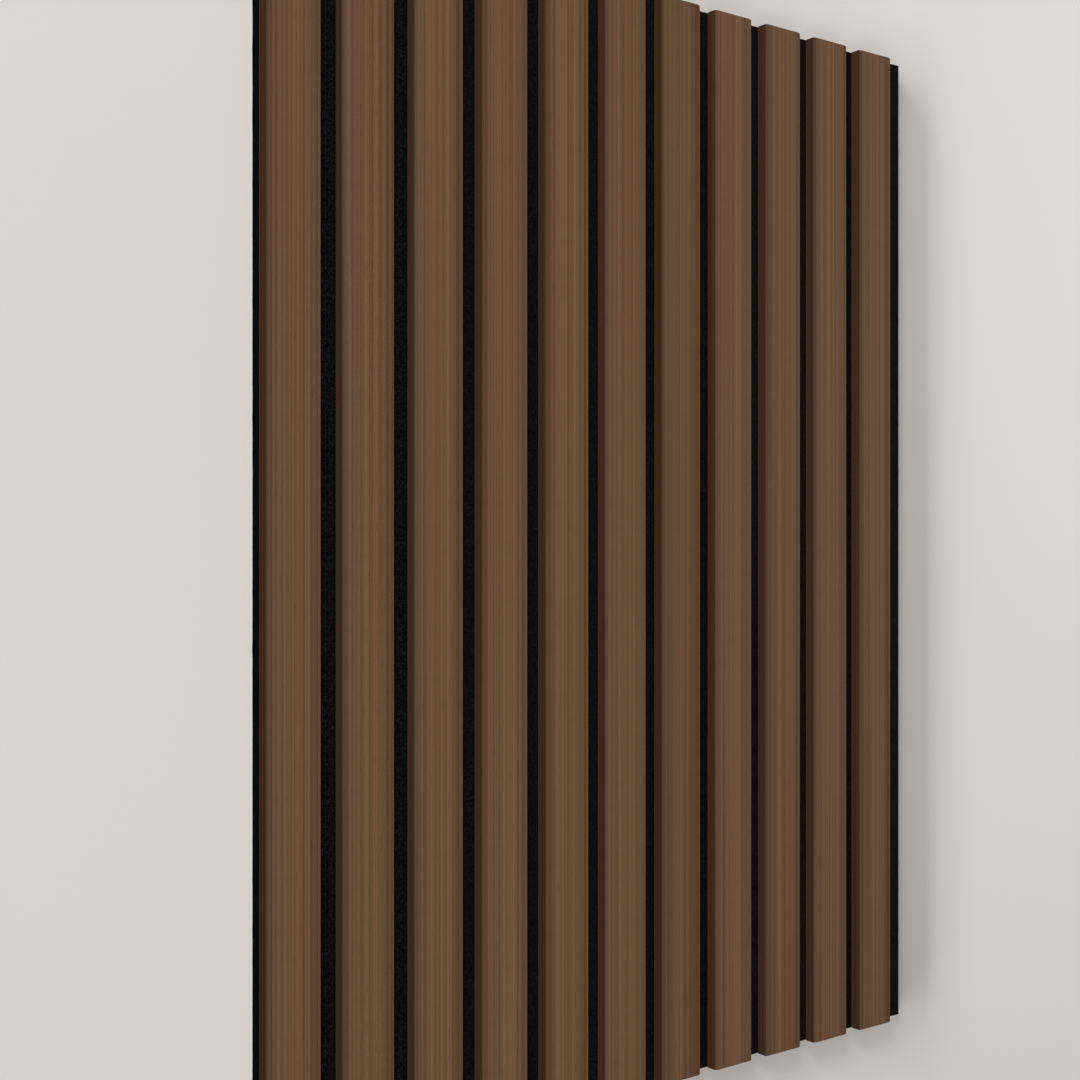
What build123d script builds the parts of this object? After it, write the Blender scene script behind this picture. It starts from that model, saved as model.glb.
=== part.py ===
from build123d import *
import os

# Ribbed wall panel: eleven wood-faced slats, glued and stapled side by side to a black felt board.
# X runs across the slats, Y goes into the wall and Z is up. The origin is the middle of the back
# face, where the panel meets the wall. All sizes are in millimetres.

# Layout of the face, from the left edge of the felt to the right
slat_count = 11
slat_gap = 15.0
felt_lip = 21.0  # bare felt past the last slat, where the next panel butts on
panel_height = 800.0

# Section of a slat
slat_width = 39.0
slat_depth = 9.5
roll_width = 5.0  # how far a long front edge rolls across the face
roll_drop = 1.6  # how far it falls back towards the wall
glue_chamfer = 0.6  # relief along the two back edges, which takes the squeezed-out glue

# Felt board
felt_thickness = 9.0

# Staples, driven from the back through the felt and into each slat
staple_rows = 5
staple_inset = 40.0  # from the end of a slat to the middle of its first staple
crown_length = 11.0  # over the two legs
crown_sink = 0.4  # how far the crown lies below the back of the felt
tip_cover = 4.5  # wood left between a leg's point and the face of the slat
wire_width = 1.2
wire_thickness = 0.6
corner_cut = 0.3  # across the outside of a bend
point_length = 1.5  # of the chisel ground on the inside of each leg

slat_pitch = slat_width + slat_gap
panel_width = slat_count * slat_width + (slat_count - 1) * slat_gap + felt_lip
first_slat_x = (slat_width - panel_width) / 2
slat_centres = [first_slat_x + number * slat_pitch for number in range(slat_count)]

row_spacing = (panel_height - 2 * staple_inset) / (staple_rows - 1)
row_heights = [(row - (staple_rows - 1) / 2) * row_spacing for row in range(staple_rows)]
staple_seats = [(x, height) for x in slat_centres for height in row_heights]

os.makedirs("parts", exist_ok=True)

# One staple: flat wire bent square to a U, its crown upright along the slat, with chisel points.
crown_back = -crown_sink
crown_front = crown_back - wire_thickness
leg_tip = tip_cover - (felt_thickness + slat_depth)
with BuildPart() as staple:
    with BuildSketch(Plane.YZ):
        with BuildLine():
            Polyline(
                (crown_back, 0),
                (crown_back, crown_length / 2 - corner_cut),
                (crown_back - corner_cut, crown_length / 2),
                (leg_tip, crown_length / 2),
                (leg_tip + point_length, crown_length / 2 - wire_thickness),
                (crown_front, crown_length / 2 - wire_thickness),
                (crown_front, 0),
            )
            mirror(about=Plane.XZ)
        make_face()
    extrude(amount=wire_width / 2, both=True)

# All the staples, in rows up the middle of each slat.
with BuildPart() as staples:
    with Locations(*[(x, 0, height) for x, height in staple_seats]):
        add(staple.part)
staples.part.label = "staples"
export_step(staples.part, "parts/staples.step")

# The felt: a square-cut board, slit where the crown and the legs of each staple sink into it.
with BuildPart() as felt_backing:
    with BuildSketch(Plane.XZ):
        Rectangle(panel_width, panel_height)
    extrude(amount=felt_thickness)
    with BuildSketch(Plane.XZ):
        with Locations(*staple_seats):
            Rectangle(wire_width, crown_length)
    extrude(amount=-crown_front, mode=Mode.SUBTRACT)
    add(staples.part, mode=Mode.SUBTRACT)
felt_backing.part.label = "felt_backing"
export_step(felt_backing.part, "parts/felt_backing.step")

# The slats: bars with rolled front edges, cut square at both ends and pierced by their staples.
side_length = slat_depth - roll_drop
for number, centre_x in enumerate(slat_centres, start=1):
    with BuildPart() as slat:
        with BuildSketch(Plane((centre_x, -felt_thickness, -panel_height / 2))):
            with BuildLine():
                Polyline(
                    (0, 0),
                    (slat_width / 2 - glue_chamfer, 0),
                    (slat_width / 2, -glue_chamfer),
                    (slat_width / 2, -side_length),
                )
                EllipticalCenterArc(
                    (slat_width / 2 - roll_width, -side_length),
                    roll_width,
                    roll_drop,
                    start_angle=270,
                    arc_size=90,
                )
                Line((slat_width / 2 - roll_width, -slat_depth), (0, -slat_depth))
                mirror(about=Plane.YZ)
            make_face()
        extrude(amount=panel_height)
        with Locations(*[(centre_x, 0, height) for height in row_heights]):
            add(staple.part, mode=Mode.SUBTRACT)
    slat.part.label = f"slat_{number:02d}"
    export_step(slat.part, f"parts/{slat.part.label}.step")
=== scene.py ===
import math

import bpy
import numpy as np
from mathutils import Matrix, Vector, noise


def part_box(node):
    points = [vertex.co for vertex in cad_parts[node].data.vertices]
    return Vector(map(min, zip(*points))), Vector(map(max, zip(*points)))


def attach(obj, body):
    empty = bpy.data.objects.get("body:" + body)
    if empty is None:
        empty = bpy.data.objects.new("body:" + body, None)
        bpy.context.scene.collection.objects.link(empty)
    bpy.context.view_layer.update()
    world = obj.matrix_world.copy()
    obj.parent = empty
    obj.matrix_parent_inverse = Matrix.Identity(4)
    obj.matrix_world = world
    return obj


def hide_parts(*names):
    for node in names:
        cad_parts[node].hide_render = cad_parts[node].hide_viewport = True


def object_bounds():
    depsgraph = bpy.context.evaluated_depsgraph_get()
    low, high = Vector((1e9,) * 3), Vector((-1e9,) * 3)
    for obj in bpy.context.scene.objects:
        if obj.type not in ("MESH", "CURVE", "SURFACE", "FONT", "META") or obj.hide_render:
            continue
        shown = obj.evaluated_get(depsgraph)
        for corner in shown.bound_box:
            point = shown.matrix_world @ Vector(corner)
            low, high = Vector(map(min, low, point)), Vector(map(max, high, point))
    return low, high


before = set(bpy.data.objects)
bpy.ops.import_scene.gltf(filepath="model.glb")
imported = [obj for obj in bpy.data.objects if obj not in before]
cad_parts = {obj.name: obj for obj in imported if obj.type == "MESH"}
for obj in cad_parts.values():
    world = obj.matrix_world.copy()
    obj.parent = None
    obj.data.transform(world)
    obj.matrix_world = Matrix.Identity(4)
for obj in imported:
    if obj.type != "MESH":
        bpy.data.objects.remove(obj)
cad_low, cad_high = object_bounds()
MM = 0.001


# The felt board
# Black polyester fibre, needled and pressed to a stiff 9 mm sheet, then sawn square.
# The staples pull its back in, so each crown lies at the bottom of a shallow dimple.

felt_low, felt_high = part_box("felt_backing")
slat_nodes = sorted(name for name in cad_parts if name.startswith("slat_"))
slat_boxes = {name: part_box(name) for name in slat_nodes}
slat_middles = [(low.x + high.x) / 2 for low, high in slat_boxes.values()]

crown_length = 11 * MM
staple_row_count = 5
staples_low, staples_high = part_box("staples")
staple_heights = np.linspace(
    staples_low.z + crown_length / 2, staples_high.z - crown_length / 2, staple_row_count
)

felt_edge_round = 0.5 * MM
felt_loft = 0.16 * MM  # deepest hollow of the pressed faces
sawn_loft = 0.45 * MM  # deepest hollow of the sawn edges
loft_patch = 9 * MM  # across a hollow
fibre_clump = 2.6 * MM
dimple_depth = 0.75 * MM
dimple_reach = 3.4 * MM
dimple_falloff = 1.6  # power of the distance from the crown
facing_share = 0.9  # of a direction's Y, past which it belongs to a pressed face
grid_step = 7.2 * MM  # widest gap between grid lines on the pressed faces
sawn_step = 1.4 * MM  # and on the sawn edges


def fill_lines(wanted, low, high, step):
    """Sorted places from low to high: the wanted ones, with others between them at most a step apart."""
    kept = sorted({round(place, 7) for place in [low, *wanted, high] if low <= place <= high})
    lines = [kept[0]]
    for place in kept[1:]:
        parts = max(1, math.ceil((place - lines[-1]) / step - 1e-6))
        lines += list(np.linspace(lines[-1], place, parts + 1)[1:])
    return np.array(lines)


def edge_lines(low, high, radius):
    """Lines close to both ends, for a rounded corner."""
    shares = (0.3, 0.65, 1.0)
    return [low + radius * share for share in shares] + [high - radius * share for share in shares]


def block_surface(xs, ys, zs):
    """Vertices and quads of a closed block whose six faces have grid lines at the given places."""
    numbers = {}
    corners = []
    quads = []

    def vertex(key):
        if key not in numbers:
            i, j, k = key
            numbers[key] = len(corners)
            corners.append((xs[i], ys[j], zs[k]))
        return numbers[key]

    def add_quad(*keys):
        quads.append([vertex(key) for key in keys])

    last_x, last_y, last_z = len(xs) - 1, len(ys) - 1, len(zs) - 1
    for i in range(last_x):
        for k in range(last_z):
            add_quad((i, 0, k), (i + 1, 0, k), (i + 1, 0, k + 1), (i, 0, k + 1))
            add_quad((i, last_y, k), (i, last_y, k + 1), (i + 1, last_y, k + 1), (i + 1, last_y, k))
    for j in range(last_y):
        for k in range(last_z):
            add_quad((0, j, k), (0, j, k + 1), (0, j + 1, k + 1), (0, j + 1, k))
            add_quad((last_x, j, k), (last_x, j + 1, k), (last_x, j + 1, k + 1), (last_x, j, k + 1))
        for i in range(last_x):
            add_quad((i, j, 0), (i, j + 1, 0), (i + 1, j + 1, 0), (i + 1, j, 0))
            add_quad((i, j, last_z), (i + 1, j, last_z), (i + 1, j + 1, last_z), (i, j + 1, last_z))
    return np.array(corners), quads


def soften_block(corners, low, high, radius):
    """The corners moved onto a block with rounded edges, and the outward direction at each."""
    core = np.clip(corners, np.array(low) + radius, np.array(high) - radius)
    outward = corners - core
    outward /= np.linalg.norm(outward, axis=1, keepdims=True)
    return core + outward * radius, outward


def felt_hollow(place, sawn):
    """How far the felt's surface lies inside its flat face at a place, from loft and clumped fibre."""
    broad = noise.noise(place / loft_patch)
    fine = noise.noise(place / fibre_clump)
    share = min(1.0, max(0.0, 0.5 + 0.45 * broad + 0.5 * fine))
    return share * (sawn_loft if sawn else felt_loft)


def make_object(name, corners, faces, smooth_angle=None):
    """A mesh object from corners and faces, smooth but for edges sharper than the angle."""
    mesh = bpy.data.meshes.new(name)
    mesh.from_pydata([tuple(corner) for corner in corners], [], faces)
    mesh.shade_smooth()
    if smooth_angle is not None:
        mesh.set_sharp_from_angle(angle=smooth_angle)
    piece = bpy.data.objects.new(name, mesh)
    bpy.context.scene.collection.objects.link(piece)
    return piece


def felt_board():
    """The whole board, with the hollows of its fibre and a dimple at each staple."""
    beside_crown = np.array([0, 0.6, 1.3, 2.3, 3.8, 6.0]) * MM
    past_crown = np.array([-5.5, -3.2, -1.2, 0, 0.8, 1.8, 3.2, 5.5]) * MM + crown_length / 2
    wanted_x = edge_lines(felt_low.x, felt_high.x, felt_edge_round)
    wanted_y = edge_lines(felt_low.y, felt_high.y, felt_edge_round)
    wanted_z = edge_lines(felt_low.z, felt_high.z, felt_edge_round)
    for side in (-1, 1):
        wanted_x += [middle + side * reach for middle in slat_middles for reach in beside_crown]
        wanted_z += [height + side * reach for height in staple_heights for reach in past_crown]
    xs = fill_lines(wanted_x, felt_low.x, felt_high.x, grid_step)
    ys = fill_lines(wanted_y, felt_low.y, felt_high.y, sawn_step)
    zs = fill_lines(wanted_z, felt_low.z, felt_high.z, grid_step)
    corners, quads = block_surface(xs, ys, zs)
    corners, outward = soften_block(corners, felt_low, felt_high, felt_edge_round)
    for index, direction in enumerate(outward):
        sawn = abs(direction[1]) < facing_share
        hollow = felt_hollow(Vector(corners[index]), sawn)
        corners[index] -= direction * hollow
    on_back = outward[:, 1] > facing_share
    back = corners[on_back]
    for middle in slat_middles:
        for height in staple_heights:
            aside = back[:, 0] - middle
            along = np.maximum(0.0, np.abs(back[:, 2] - height) - crown_length / 2)
            away = np.hypot(aside, along)
            back[:, 1] -= dimple_depth * np.exp(-((away / dimple_reach) ** dimple_falloff))
    corners[on_back] = back
    return make_object("felt_board", corners, quads)


def add_node(tree, kind, inputs=None, **settings):
    """A shader node with its settings. An input is a plain value or the socket that feeds it."""
    node = tree.nodes.new(kind)
    for name, value in settings.items():
        setattr(node, name, value)
    for key, value in (inputs or {}).items():
        if isinstance(value, bpy.types.NodeSocket):
            tree.links.new(value, node.inputs[key])
        else:
            node.inputs[key].default_value = value
    return node


def maths(tree, operation, first, second=0.0, third=0.0):
    """The result of one sum on two or three values."""
    inputs = {0: first, 1: second, 2: third}
    return add_node(tree, "ShaderNodeMath", inputs, operation=operation).outputs[0]


def ramp(tree, value, low, high, low_result=0.0, high_result=1.0):
    """The value carried smoothly from one range to another."""
    node = add_node(
        tree,
        "ShaderNodeMapRange",
        {"Value": value, "From Min": low, "From Max": high, "To Min": low_result, "To Max": high_result},
        interpolation_type="SMOOTHSTEP",
    )
    return node.outputs["Result"]


def mix_colours(tree, share, first, second, mode="MIX"):
    """Two colours mixed, by the share of the second."""
    inputs = {0: share, 6: first, 7: second}
    return add_node(tree, "ShaderNodeMix", inputs, data_type="RGBA", blend_type=mode).outputs[2]


def scaled(tree, vector, factors):
    """A vector or a colour with each of its parts multiplied by a factor."""
    inputs = {0: vector, 1: factors}
    return add_node(tree, "ShaderNodeVectorMath", inputs, operation="MULTIPLY").outputs[0]


def soft_noise(tree, vector, detail=2.0, roughness=0.5):
    """Noise from 0 to 1, in patches about one unit of the vector across."""
    inputs = {"Vector": vector, "Scale": 1.0, "Detail": detail, "Roughness": roughness}
    return add_node(tree, "ShaderNodeTexNoise", inputs).outputs["Fac"]


def new_group(name, inputs, outputs):
    """An empty shader group, with its inputs' starting values, and its two end nodes."""
    group = bpy.data.node_groups.new(name, "ShaderNodeTree")
    for label, (kind, value) in inputs.items():
        socket = group.interface.new_socket(label, in_out="INPUT", socket_type=kind)
        socket.default_value = value
    for label in outputs:
        group.interface.new_socket(label, in_out="OUTPUT", socket_type="NodeSocketFloat")
    return group, group.nodes.new("NodeGroupInput"), group.nodes.new("NodeGroupOutput")


def short_fibres_group():
    """Short fibres laid every way in the plane of a board, as in felt and in fibreboard."""
    inputs = {
        "Fibre Length": ("NodeSocketFloat", 3 * MM),
        "Fibre Width": ("NodeSocketFloat", 0.2 * MM),
        "Share": ("NodeSocketFloat", 0.5),
    }
    group, start, end = new_group("short_fibres", inputs, ("Fibres", "Clumps", "Height"))
    place = add_node(group, "ShaderNodeTexCoord").outputs["Object"]
    bend_inputs = {"Vector": place, "Scale": 260.0, "Detail": 1.0}
    bend = add_node(group, "ShaderNodeTexNoise", bend_inputs).outputs["Color"]
    bent_inputs = {0: bend, 1: (2.4 * MM,) * 3, 2: place}
    bent = add_node(group, "ShaderNodeVectorMath", bent_inputs, operation="MULTIPLY_ADD").outputs[0]
    along = maths(group, "DIVIDE", 1.0, start.outputs["Fibre Length"])
    across = maths(group, "DIVIDE", 1.0, start.outputs["Fibre Width"])
    stretch = add_node(group, "ShaderNodeCombineXYZ", {"X": along, "Y": across, "Z": across}).outputs[0]
    threshold = maths(group, "SUBTRACT", 0.78, maths(group, "MULTIPLY", start.outputs["Share"], 0.3))
    fibres = 0.0
    for angle in (12, 57, 98, 151):  # degrees
        turn_inputs = {"Vector": bent, "Angle": math.radians(angle)}
        turn = add_node(group, "ShaderNodeVectorRotate", turn_inputs, rotation_type="Y_AXIS")
        turned = turn.outputs[0]
        layer = soft_noise(group, scaled(group, turned, stretch), detail=0.0)
        over = maths(group, "SUBTRACT", layer, threshold)
        fibres = maths(group, "MAXIMUM", fibres, ramp(group, over, 0.0, 0.12))
    clumps = soft_noise(group, scaled(group, place, (170.0,) * 3), detail=3.0)
    height = maths(group, "MULTIPLY_ADD", fibres, 0.6, clumps)
    group.links.new(fibres, end.inputs["Fibres"])
    group.links.new(clumps, end.inputs["Clumps"])
    group.links.new(height, end.inputs["Height"])
    return group


def use_group(tree, group, **values):
    """The group placed in a material, with its own values."""
    node = tree.nodes.new("ShaderNodeGroup")
    node.node_tree = group
    for name, value in values.items():
        node.inputs[name.replace("_", " ")].default_value = value
    return node


def new_material(name):
    """A node material, its tree and its surface shader."""
    material = bpy.data.materials.new(name)
    material.use_nodes = True
    return material, material.node_tree, material.node_tree.nodes["Principled BSDF"]


def add_bump(tree, surface, height, depth, strength=1.0):
    """Bump of a real depth, in metres, on a surface."""
    bump = add_node(tree, "ShaderNodeBump", {"Height": height, "Distance": depth, "Strength": strength})
    tree.links.new(bump.outputs["Normal"], surface.inputs["Normal"])


short_fibres = short_fibres_group()


def felt_material():
    """Matte black fibre, with slate-grey fibres showing in it as a speckle."""
    black = (0.0013, 0.0013, 0.0014, 1.0)
    slate = (0.0118, 0.0118, 0.0127, 1.0)
    material, tree, surface = new_material("pressed_black_felt")
    fibres = use_group(tree, short_fibres, Fibre_Length=3.4 * MM, Fibre_Width=0.32 * MM, Share=0.75)
    place = add_node(tree, "ShaderNodeTexCoord").outputs["Object"]
    tufts = ramp(tree, soft_noise(tree, scaled(tree, place, (1150.0,) * 3)), 0.34, 0.66)
    loose = ramp(tree, tufts, 0.0, 1.0, 0.25, 1.0)
    strands = maths(tree, "MULTIPLY", fibres.outputs["Fibres"], loose)
    lit = maths(tree, "MULTIPLY_ADD", tufts, 0.12, strands)
    colour = mix_colours(tree, lit, black, slate)
    tree.links.new(colour, surface.inputs["Base Color"])
    roughness = ramp(tree, fibres.outputs["Clumps"], 0.3, 0.7, 0.88, 1.0)
    tree.links.new(roughness, surface.inputs["Roughness"])
    surface.inputs["Specular IOR Level"].default_value = 0.02
    add_bump(tree, surface, fibres.outputs["Height"], 0.25 * MM)
    return material


felt = felt_board()
felt.data.materials.append(felt_material())
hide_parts("felt_backing")
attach(felt, "root")


# The slats
# Fibreboard bars with straight-grained smoked walnut veneer wrapped round the face and both sides.
# The long front edges are rolled, the ends are sawn square, and the bare back is glued to the felt.

edge_roll_across = 5 * MM
edge_roll_drop = 1.6 * MM
glue_relief = 0.6 * MM
end_break = 0.25 * MM
veneer_thickness = 0.6 * MM
grain_depth = 0.05 * MM
# Scores along the grain: width, length, step in the noise from slat to slat, and strength.
grain_scores = [(0.8 * MM, 0.35, 5.3, 1.0), (2.3 * MM, 0.5, 9.1, 0.6)]
roll_steps = 14
side_steps = 8
face_steps = 84
ring_spacing = 16 * MM
crease_angle = math.radians(40)
# Painted shade on the veneer, by the distance round the outline from the middle of the face: the sides and
# the rolled long edges are darker.
painted_edge_shade = [
    (-28.0 * MM, 0.56),
    (-20.6 * MM, 0.56),
    (-19.9 * MM, 0.46),
    (-19.3 * MM, 0.39),
    (-18.8 * MM, 0.67),
    (-17.3 * MM, 0.75),
    (-16.3 * MM, 0.80),
    (-13.7 * MM, 0.88),
    (-9.8 * MM, 0.93),
    (-3.9 * MM, 1.0),
    (2.0 * MM, 1.0),
    (7.8 * MM, 0.96),
    (10.9 * MM, 0.82),
    (14.0 * MM, 0.77),
    (15.7 * MM, 0.67),
    (17.4 * MM, 0.79),
    (19.5 * MM, 0.80),
    (28.0 * MM, 0.72),
]
# Each slat's tone: random from slat to slat, with painted shade on the tenth and eleventh slats.
slat_tones_and_painted_shade = [0.97, 1.01, 1.0, 1.01, 0.95, 1.0, 0.87, 1.01, 0.95, 0.955, 0.93]  # from the left


def slat_outline(half_width, back, face):
    """Points (across, y) from the back's left edge, round the left side and the face, to its right edge."""
    side_end = face + edge_roll_drop
    left = [(-half_width + glue_relief, back)]
    left += [(-half_width, y) for y in np.linspace(back - glue_relief, side_end, side_steps + 1)]
    for turn in np.linspace(0, math.pi / 2, roll_steps + 1)[1:]:
        across = -half_width + edge_roll_across * (1 - math.cos(turn))
        left.append((across, side_end - edge_roll_drop * math.sin(turn)))
    flat_half = half_width - edge_roll_across
    flat = [(across, face) for across in np.linspace(-flat_half, flat_half, face_steps + 1)[1:-1]]
    right = [(-across, y) for across, y in reversed(left)]
    return np.array(left + flat + right)


def outward_normals(outline):
    """The outward direction at each point of an open outline that runs with the bar on its left."""
    ahead = np.gradient(outline, axis=0)
    turned = np.stack([ahead[:, 1], -ahead[:, 0]], axis=1)
    return turned / np.linalg.norm(turned, axis=1, keepdims=True)


def score_depth(across, height, number):
    """How deep a slat's veneer is scored at a place, from narrow and broad scores along the grain."""
    score = 0.0
    for width, length, slat_step, strength in grain_scores:
        spot = Vector((across / width, height / length, number * slat_step))
        score += strength * noise.noise(spot)
    return grain_depth * min(1.0, max(0.0, 0.5 + 0.6 * score))


def veneer_inside(outline, normals, half_width):
    """The inner line of the veneer at a sawn end. At the bare back the veneer is only thick sideways."""
    inside = outline - normals * veneer_thickness
    for index in (0, -1):
        inside[index] = outline[index] * (1 - veneer_thickness / half_width, 1)
    return inside


def slat_faces(size, rings):
    """Faces over rings of corners from foot to top, then over two more rings inside the veneer's ends.

    Each face has its material's number beside it: 0 is veneer, and 1 is the bare back and core.
    """
    faces, kinds = [], []
    for ring in range(rings - 1):
        base, above = ring * size, (ring + 1) * size
        for index in range(size - 1):
            faces.append((base + index, base + index + 1, above + index + 1, above + index))
            kinds.append(0)
        faces.append((base + size - 1, base, above, above + size - 1))
        kinds.append(1)
    foot = (0, rings * size, True)
    top = ((rings - 1) * size, (rings + 1) * size, False)
    for base, inner, downward in (foot, top):
        for index in range(size - 1):
            quad = (base + index, inner + index, inner + index + 1, base + index + 1)
            faces.append(quad if downward else quad[::-1])
            kinds.append(0)
        core = tuple(range(inner, inner + size))
        faces.append(core[::-1] if downward else core)
        kinds.append(1)
    return faces, kinds


def veneered_slat(name, number):
    """One bar, its face and sides scored finely along the grain, with the veneer's edge at both ends."""
    low, high = slat_boxes[name]
    middle, half_width = (low.x + high.x) / 2, (high.x - low.x) / 2
    outline = slat_outline(half_width, high.y, low.y)
    normals = outward_normals(outline)
    steps = np.linalg.norm(np.diff(outline, axis=0), axis=1)
    developed = np.concatenate([[0], np.cumsum(steps)])
    developed -= developed[-1] / 2  # the distance round the outline from the middle of the face
    heights = fill_lines([low.z + end_break, high.z - end_break], low.z, high.z, ring_spacing)
    foot_and_top = (heights[0], heights[-1])
    corners, places = [], []

    def add_ring(line, height):
        for point, across in zip(line, developed):
            corners.append((middle + point[0], min(point[1], high.y), height))
            places.append((across, height, number))

    for height in heights:
        insets = [score_depth(across, height, number) for across in developed]
        if height in foot_and_top:
            insets = [end_break] * len(outline)
        add_ring(outline - normals * np.array(insets)[:, np.newaxis], height)
    for height in foot_and_top:
        add_ring(veneer_inside(outline, normals, half_width), height)
    faces, kinds = slat_faces(len(outline), len(heights))
    piece = make_object(f"veneered_{name}", corners, faces, crease_angle)
    piece.data.polygons.foreach_set("material_index", kinds)
    grain_place = piece.data.attributes.new("grain_place", "FLOAT_VECTOR", "POINT")
    grain_place.data.foreach_set("vector", np.array(places, np.float32).ravel())
    return piece


def tone_curve(tree, value, stops):
    """A grey tone read from stops, each a place and its tone, with straight lines between them."""
    low, high = stops[0][0], stops[-1][0]
    inputs = {"Value": value, "From Min": low, "From Max": high}
    share = add_node(tree, "ShaderNodeMapRange", inputs).outputs["Result"]
    node = add_node(tree, "ShaderNodeValToRGB", {"Fac": share})
    curve = node.color_ramp
    while len(curve.elements) < len(stops):
        curve.elements.new(0.5)
    for element, (place, tone) in zip(curve.elements, stops):
        element.position = (place - low) / (high - low)
        element.color = (tone, tone, tone, 1.0)
    return node.outputs["Color"]


def veneer_material():
    """Walnut veneer: fine straight streaks, slow drifts of hue and short pores, with painted shade that
    darkens the sides and the rolled edges.
    """
    olive_brown = (0.139, 0.0755, 0.0370, 1.0)
    red_brown = (0.139, 0.0700, 0.0355, 1.0)
    pore_brown = (0.052, 0.028, 0.016, 1.0)
    material, tree, surface = new_material("smoked_walnut_veneer")
    place = add_node(tree, "ShaderNodeAttribute", attribute_name="grain_place").outputs["Vector"]
    # Each scale: patches in a metre across the grain, the same along it, and a step from slat to slat.
    fine = soft_noise(tree, scaled(tree, place, (1150.0, 0.9, 17.3)), detail=2.0, roughness=0.6)
    middling = soft_noise(tree, scaled(tree, place, (540.0, 0.5, 5.7)), detail=1.0)
    broad = soft_noise(tree, scaled(tree, place, (120.0, 0.6, 3.1)), detail=1.0)
    drift = soft_noise(tree, scaled(tree, place, (95.0, 1.5, 7.9)), detail=2.0)
    hue = mix_colours(tree, ramp(tree, drift, 0.36, 0.64), red_brown, olive_brown)
    streak = ramp(tree, fine, 0.25, 0.75, 0.84, 1.17)
    streak = maths(tree, "MULTIPLY", streak, ramp(tree, middling, 0.3, 0.7, 0.84, 1.16))
    streak = maths(tree, "MULTIPLY", streak, ramp(tree, broad, 0.25, 0.75, 0.95, 1.05))
    parts = add_node(tree, "ShaderNodeSeparateXYZ", {0: place}).outputs
    # Painted shade: the sides and the rolled edges darker than the middle of the face.
    edge_shade = tone_curve(tree, parts["X"], painted_edge_shade)
    # Each slat's own tone, with painted shade darkening the two right-hand slats.
    slat_tone_and_shade = tone_curve(tree, parts["Z"], list(enumerate(slat_tones_and_painted_shade, start=1)))
    toned = mix_colours(tree, 1.0, scaled(tree, hue, streak), edge_shade, "MULTIPLY")
    toned = mix_colours(tree, 1.0, toned, slat_tone_and_shade, "MULTIPLY")
    pores = soft_noise(tree, scaled(tree, place, (2700.0, 60.0, 11.0)), detail=0.0)
    pores = maths(tree, "SUBTRACT", pores, maths(tree, "MULTIPLY", middling, 0.12))
    open_pores = ramp(tree, pores, 0.62, 0.72)
    colour = mix_colours(tree, maths(tree, "MULTIPLY", open_pores, 0.35), toned, pore_brown)
    tree.links.new(colour, surface.inputs["Base Color"])
    tree.links.new(ramp(tree, fine, 0.25, 0.75, 0.68, 0.58), surface.inputs["Roughness"])
    surface.inputs["Specular IOR Level"].default_value = 0.05
    add_bump(tree, surface, maths(tree, "SUBTRACT", fine, open_pores), 0.05 * MM)
    return material


def fibreboard_material():
    """The bare core at the sawn ends and the back: tan wood fibre with darker specks."""
    tan = (0.42, 0.285, 0.165, 1.0)
    dark_fibre = (0.25, 0.155, 0.085, 1.0)
    material, tree, surface = new_material("bare_fibreboard")
    fibres = use_group(tree, short_fibres, Fibre_Length=1.4 * MM, Fibre_Width=0.16 * MM, Share=0.55)
    colour = mix_colours(tree, fibres.outputs["Fibres"], tan, dark_fibre)
    tree.links.new(colour, surface.inputs["Base Color"])
    tree.links.new(ramp(tree, fibres.outputs["Clumps"], 0.3, 0.7, 0.8, 0.95), surface.inputs["Roughness"])
    surface.inputs["Specular IOR Level"].default_value = 0.2
    add_bump(tree, surface, fibres.outputs["Height"], 0.08 * MM)
    return material


veneer = veneer_material()
fibreboard = fibreboard_material()
slats = []
for number, name in enumerate(slat_nodes, start=1):
    slat = veneered_slat(name, number)
    slat.data.materials.append(veneer)
    slat.data.materials.append(fibreboard)
    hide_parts(name)
    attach(slat, "root")
    slats.append(slat)


# The staples
# Galvanised flat wire bent to a U, with chisel points, fired from the back into each slat.
# Only the crowns show, each drawn a little way into the felt along the middle of a slat.

wire_width = 1.2 * MM
wire_thickness = 0.6 * MM
wire_round = 0.14 * MM
bend_radius = 0.75 * MM
bend_steps = 6
wire_crease = math.radians(50)
point_length = 1.5 * MM
crown_back = staples_high.y
leg_tip = staples_low.y


def wire_section():
    """The flat wire's section (across, thickness), with its corners eased."""
    half_width, half_thickness = wire_width / 2, wire_thickness / 2
    corner = (half_width - wire_round, half_thickness - wire_round)
    points = []
    for turn in range(0, 360, 90):
        for extra in (0, 45, 90):
            angle = math.radians(turn + extra)
            sign_x = 1 if turn in (0, 270) else -1
            sign_y = 1 if turn in (0, 90) else -1
            across = sign_x * corner[0] + wire_round * math.cos(angle)
            depth = sign_y * corner[1] + wire_round * math.sin(angle)
            points.append((across, depth))
    return points


def wire_path():
    """(y, z, out_y, out_z) along the middle of the wire, from one tip round the crown to the other."""
    half_crown = (crown_length - wire_thickness) / 2
    crown_y = crown_back - wire_thickness / 2
    path = [(leg_tip, half_crown, 0.0, 1.0), (leg_tip + point_length, half_crown, 0.0, 1.0)]
    for turn in np.linspace(0, math.pi / 2, bend_steps + 1):
        out_y, out_z = math.sin(turn), math.cos(turn)
        y = crown_y - bend_radius + bend_radius * out_y
        z = half_crown - bend_radius + bend_radius * out_z
        path.append((y, z, out_y, out_z))
    return path + [(y, -z, out_y, -out_z) for y, z, out_y, out_z in reversed(path)]


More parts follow.
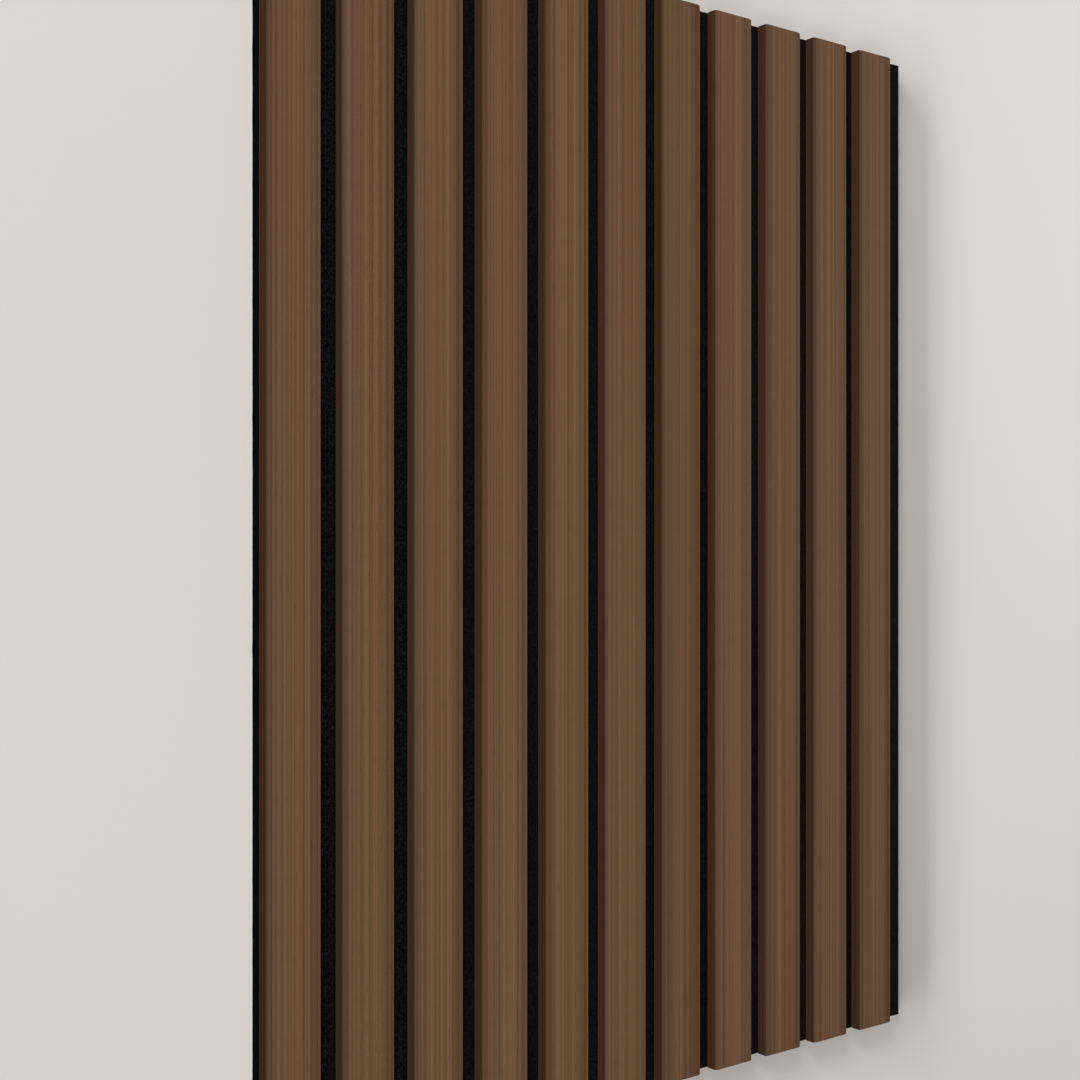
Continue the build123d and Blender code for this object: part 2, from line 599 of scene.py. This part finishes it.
def staple_wires():
    """Every staple, as one group of bent wires."""
    section, path = wire_section(), wire_path()
    size = len(section)
    corners, faces = [], []
    for middle in slat_middles:
        for height in staple_heights:
            base = len(corners)
            for ring, (y, z, out_y, out_z) in enumerate(path):
                at_tip = ring in (0, len(path) - 1)
                for across, depth in section:
                    reach = wire_thickness / 2 if at_tip else depth
                    corners.append((middle + across, y + out_y * reach, height + z + out_z * reach))
            for ring in range(len(path) - 1):
                for index in range(size):
                    after = (index + 1) % size
                    first, second = base + ring * size, base + (ring + 1) * size
                    faces.append((first + index, first + after, second + after, second + index))
    return make_object("staple_wires", corners, faces, wire_crease)


def zinc_material():
    """Galvanised wire: bright where it was drawn, dulled in patches."""
    bright = (0.62, 0.63, 0.64, 1.0)
    dull = (0.36, 0.37, 0.385, 1.0)
    material, tree, surface = new_material("galvanised_wire")
    place = add_node(tree, "ShaderNodeTexCoord").outputs["Object"]
    patches = soft_noise(tree, scaled(tree, place, (420.0,) * 3), detail=3.0)
    drawn = soft_noise(tree, scaled(tree, place, (7000.0, 900.0, 160.0)), detail=1.0)
    colour = mix_colours(tree, ramp(tree, patches, 0.4, 0.62), bright, dull)
    tree.links.new(colour, surface.inputs["Base Color"])
    surface.inputs["Metallic"].default_value = 1.0
    roughness = ramp(tree, maths(tree, "ADD", patches, drawn), 0.8, 1.2, 0.36, 0.56)
    tree.links.new(roughness, surface.inputs["Roughness"])
    add_bump(tree, surface, drawn, 0.02 * MM)
    return material


staples = staple_wires()
staples.data.materials.append(zinc_material())
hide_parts("staples")
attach(staples, "root")


# The wall, the floor and the light
# A pale painted wall close behind the panel, and a pale floor below the view. The wall is clear
# from behind, so that the panel's back can be looked at. Each lamp lights the panel, the wall or
# the floor alone.

wall_gap = 1 * MM
floor_height = -0.62
stage_reach = 4.5
wall_paint = (0.715, 0.680, 0.640, 1.0)


def stage_material(name, colour):
    """Matt paint, faintly clouded, and clear from behind."""
    material, tree, surface = new_material(name)
    place = add_node(tree, "ShaderNodeTexCoord").outputs["Object"]
    cloud = soft_noise(tree, scaled(tree, place, (1.4,) * 3), detail=1.0)
    light = (*(channel * 1.015 for channel in colour[:3]), 1.0)
    dark = (*(channel * 0.985 for channel in colour[:3]), 1.0)
    clouded = mix_colours(tree, ramp(tree, cloud, 0.3, 0.7), dark, light)
    tree.links.new(clouded, surface.inputs["Base Color"])
    surface.inputs["Roughness"].default_value = 0.95
    surface.inputs["Specular IOR Level"].default_value = 0.0
    clear = add_node(tree, "ShaderNodeBsdfTransparent")
    behind = add_node(tree, "ShaderNodeNewGeometry").outputs["Backfacing"]
    sides = {0: behind, 1: surface.outputs[0], 2: clear.outputs[0]}
    choice = add_node(tree, "ShaderNodeMixShader", sides)
    tree.links.new(choice.outputs[0], tree.nodes["Material Output"].inputs["Surface"])
    return material


def stage_plane(name, corners, material):
    """A flat sheet of the stage, which throws no shadow, colour or reflection on the panel."""
    plane = make_object(name, corners, [(0, 1, 2, 3)])
    plane.data.materials.append(material)
    plane.visible_shadow = False
    plane.visible_diffuse = False
    plane.visible_glossy = False
    return plane


wall_y = cad_high.y + wall_gap
near, far = -stage_reach, stage_reach
paint = stage_material("matt_wall_paint", wall_paint)
wall_edges = [(near, floor_height), (far, floor_height), (far, far), (near, far)]
wall_corners = [(x, wall_y, z) for x, z in wall_edges]
floor_edges = [(near, near), (far, near), (far, far), (near, far)]
floor_corners = [(x, y, floor_height) for x, y in floor_edges]
wall = stage_plane("wall", wall_corners, paint)
floor = stage_plane("floor", floor_corners, paint)


def lit_group(name, pieces):
    """The pieces that a lamp may light."""
    group = bpy.data.collections.new(name)
    for piece in pieces:
        group.objects.link(piece)
    return group


def soft_lamp(name, place, width, height, power, lit, shadow=True):
    """A rectangular soft box that points at the middle of the panel and lights one group of pieces."""
    data = bpy.data.lights.new(name, "AREA")
    data.shape = "RECTANGLE"
    data.size = width
    data.size_y = height
    data.energy = power
    lamp = bpy.data.objects.new(name, data)
    lamp.location = place
    lamp.rotation_euler = (-Vector(place)).to_track_quat("-Z", "Y").to_euler()
    bpy.context.scene.collection.objects.link(lamp)
    lamp.light_linking.receiver_collection = lit
    data.use_shadow = shadow


panel_pieces = lit_group("panel_pieces", [felt, staples, *slats])
wall_sheet = lit_group("wall_sheet", [wall])
floor_sheet = lit_group("floor_sheet", [floor])

# Places and sizes are in metres, and powers in watts.
soft_lamp("key_light", (-4.0, -4.45, 1.5), 2.6, 2.6, 272.0, panel_pieces)
soft_lamp("front_fill", (0.0, -2.4, 0.3), 5.0, 5.0, 55.0, panel_pieces)
soft_lamp("top_fill", (0.0, -0.5, 3.0), 1.5, 1.5, 22.0, panel_pieces)
soft_lamp("right_fill", (3.0, -0.8, 0.3), 1.5, 1.5, 28.0, panel_pieces)
soft_lamp("back_fill", (0.0, 3.2, 0.5), 0.55, 0.55, 70.0, panel_pieces)
soft_lamp("wall_front", (1.3, -1.2, 0.46), 1.2, 1.2, 12.5, wall_sheet, shadow=False)
soft_lamp("wall_high", (-3.74, -1.77, 3.14), 3.2, 1.4, 182.0, wall_sheet)
soft_lamp("wall_graze", (-7.14, -1.53, 0.54), 1.0, 12.8, 1260.0, wall_sheet)
soft_lamp("wall_low", (-4.25, -3.84, -4.03), 5.0, 2.5, 118.0, wall_sheet)
soft_lamp("floor_light", (-0.4, -1.6, 4.2), 4.0, 4.0, 250.0, floor_sheet)

world = bpy.data.worlds.new("studio")
bpy.context.scene.world = world
world.use_nodes = True
sky = world.node_tree.nodes["Background"]
seen = add_node(world.node_tree, "ShaderNodeLightPath").outputs["Is Camera Ray"]
pale = mix_colours(world.node_tree, seen, (0.05, 0.05, 0.05, 1.0), wall_paint)
world.node_tree.links.new(pale, sky.inputs["Color"])
bpy.context.scene.view_settings.view_transform = "Standard"


# The camera
# It stands to the left of the panel at half its height and looks level, turned towards the panel.
# Its place, turn and lens were solved from the slats' edges in the photograph.

camera_place = (-0.7626, -0.8933, 0.0)
camera_turn = 37.59  # degrees to the right, from square to the wall
camera_lens = 53.33  # millimetres, for a sensor 36 mm wide
camera_data = bpy.data.cameras.new("camera")
camera_data.sensor_width = 36.0
camera_data.lens = camera_lens
camera = bpy.data.objects.new("camera", camera_data)
camera.location = camera_place
camera.rotation_euler = (math.radians(90), 0.0, math.radians(-camera_turn))
bpy.context.scene.collection.objects.link(camera)
bpy.context.scene.camera = camera
